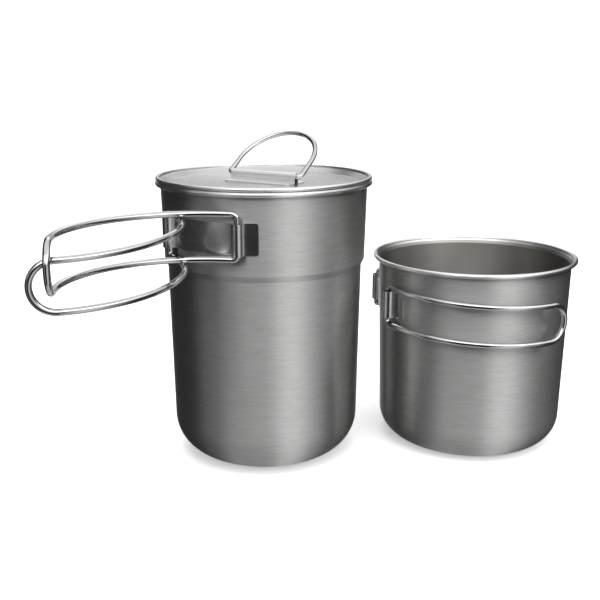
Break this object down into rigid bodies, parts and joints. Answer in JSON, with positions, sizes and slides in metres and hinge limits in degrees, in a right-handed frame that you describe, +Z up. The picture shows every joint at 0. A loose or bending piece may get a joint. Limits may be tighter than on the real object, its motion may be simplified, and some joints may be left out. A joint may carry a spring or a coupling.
{
  "type": "camping cook pot set",
  "caption": "Stainless camping pot with folding wire handles and a ring-handled pan lid, standing beside a rimmed cup with folded wire handles that the pot nests in.",
  "frame": {"origin": "centre of the tall pot's flat base, on the ground", "axes": "+Z up; +X from the tall pot towards the side where the cup stands; -Y is the front, where the tall pot's folded-out loops reach"},
  "size_m": [0.2537, 0.1977, 0.1647],
  "materials": {
    "vessel_steel": "stainless sheet brushed round the vessel in fine level lines",
    "lid_steel": "stainless sheet, bright with faint turning marks",
    "strip_steel": "satin stainless strip",
    "clip_steel": "stainless strip brushed along its length",
    "wire_steel": "polished stainless wire"
  },
  "bodies": {
    "tall_pot": {"pot_body": "vessel_steel", "pot_handle_strip": "strip_steel"},
    "pot_loop_right": {"pot_handle_right": "wire_steel"},
    "pot_loop_left": {"pot_handle_left": "wire_steel"},
    "lid": {"lid_pan": "lid_steel", "lid_clip": "clip_steel"},
    "lid_ring": {"lid_ring": "wire_steel"},
    "cup": {"cup_body": "vessel_steel", "cup_handle_strip": "strip_steel"},
    "cup_loop_right": {"cup_handle_right": "wire_steel"},
    "cup_loop_left": {"cup_handle_left": "wire_steel"}
  },
  "joints": [
    {"name": "pot_loop_right_fold", "type": "hinge", "parent": "tall_pot", "child": "pot_loop_right", "pos_m": [-0.01048, -0.05292, 0.1209], "axis": [0, 0, 1], "range_deg": [0, 183.5]},
    {"name": "pot_loop_left_fold", "type": "hinge", "parent": "tall_pot", "child": "pot_loop_left", "pos_m": [-0.04472, -0.03017, 0.1209], "axis": [0, 0, 1], "range_deg": [-179.5, 0]},
    {"name": "lid_lift", "type": "slide", "parent": "tall_pot", "child": "lid", "axis": [0, 0, 1], "range_m": [0, 0.06]},
    {"name": "lid_ring_swing", "type": "hinge", "parent": "lid", "child": "lid_ring", "pos_m": [0, 0, 0.1445], "axis": [0.8387, -0.5446, 0], "range_deg": [-38, 148]},
    {"name": "cup_move", "type": "slide", "parent": "tall_pot", "child": "cup", "axis": [1, 0, 0], "range_m": [0, 0.12]},
    {"name": "cup_loop_right_fold", "type": "hinge", "parent": "cup", "child": "cup_loop_right", "pos_m": [0.06368, -0.00523, 0.0787], "axis": [0, 0, 1], "range_deg": [-78, 0]},
    {"name": "cup_loop_left_fold", "type": "hinge", "parent": "cup", "child": "cup_loop_left", "pos_m": [0.06117, 0.03473, 0.0787], "axis": [0, 0, 1], "range_deg": [0, 108]}
  ]
}
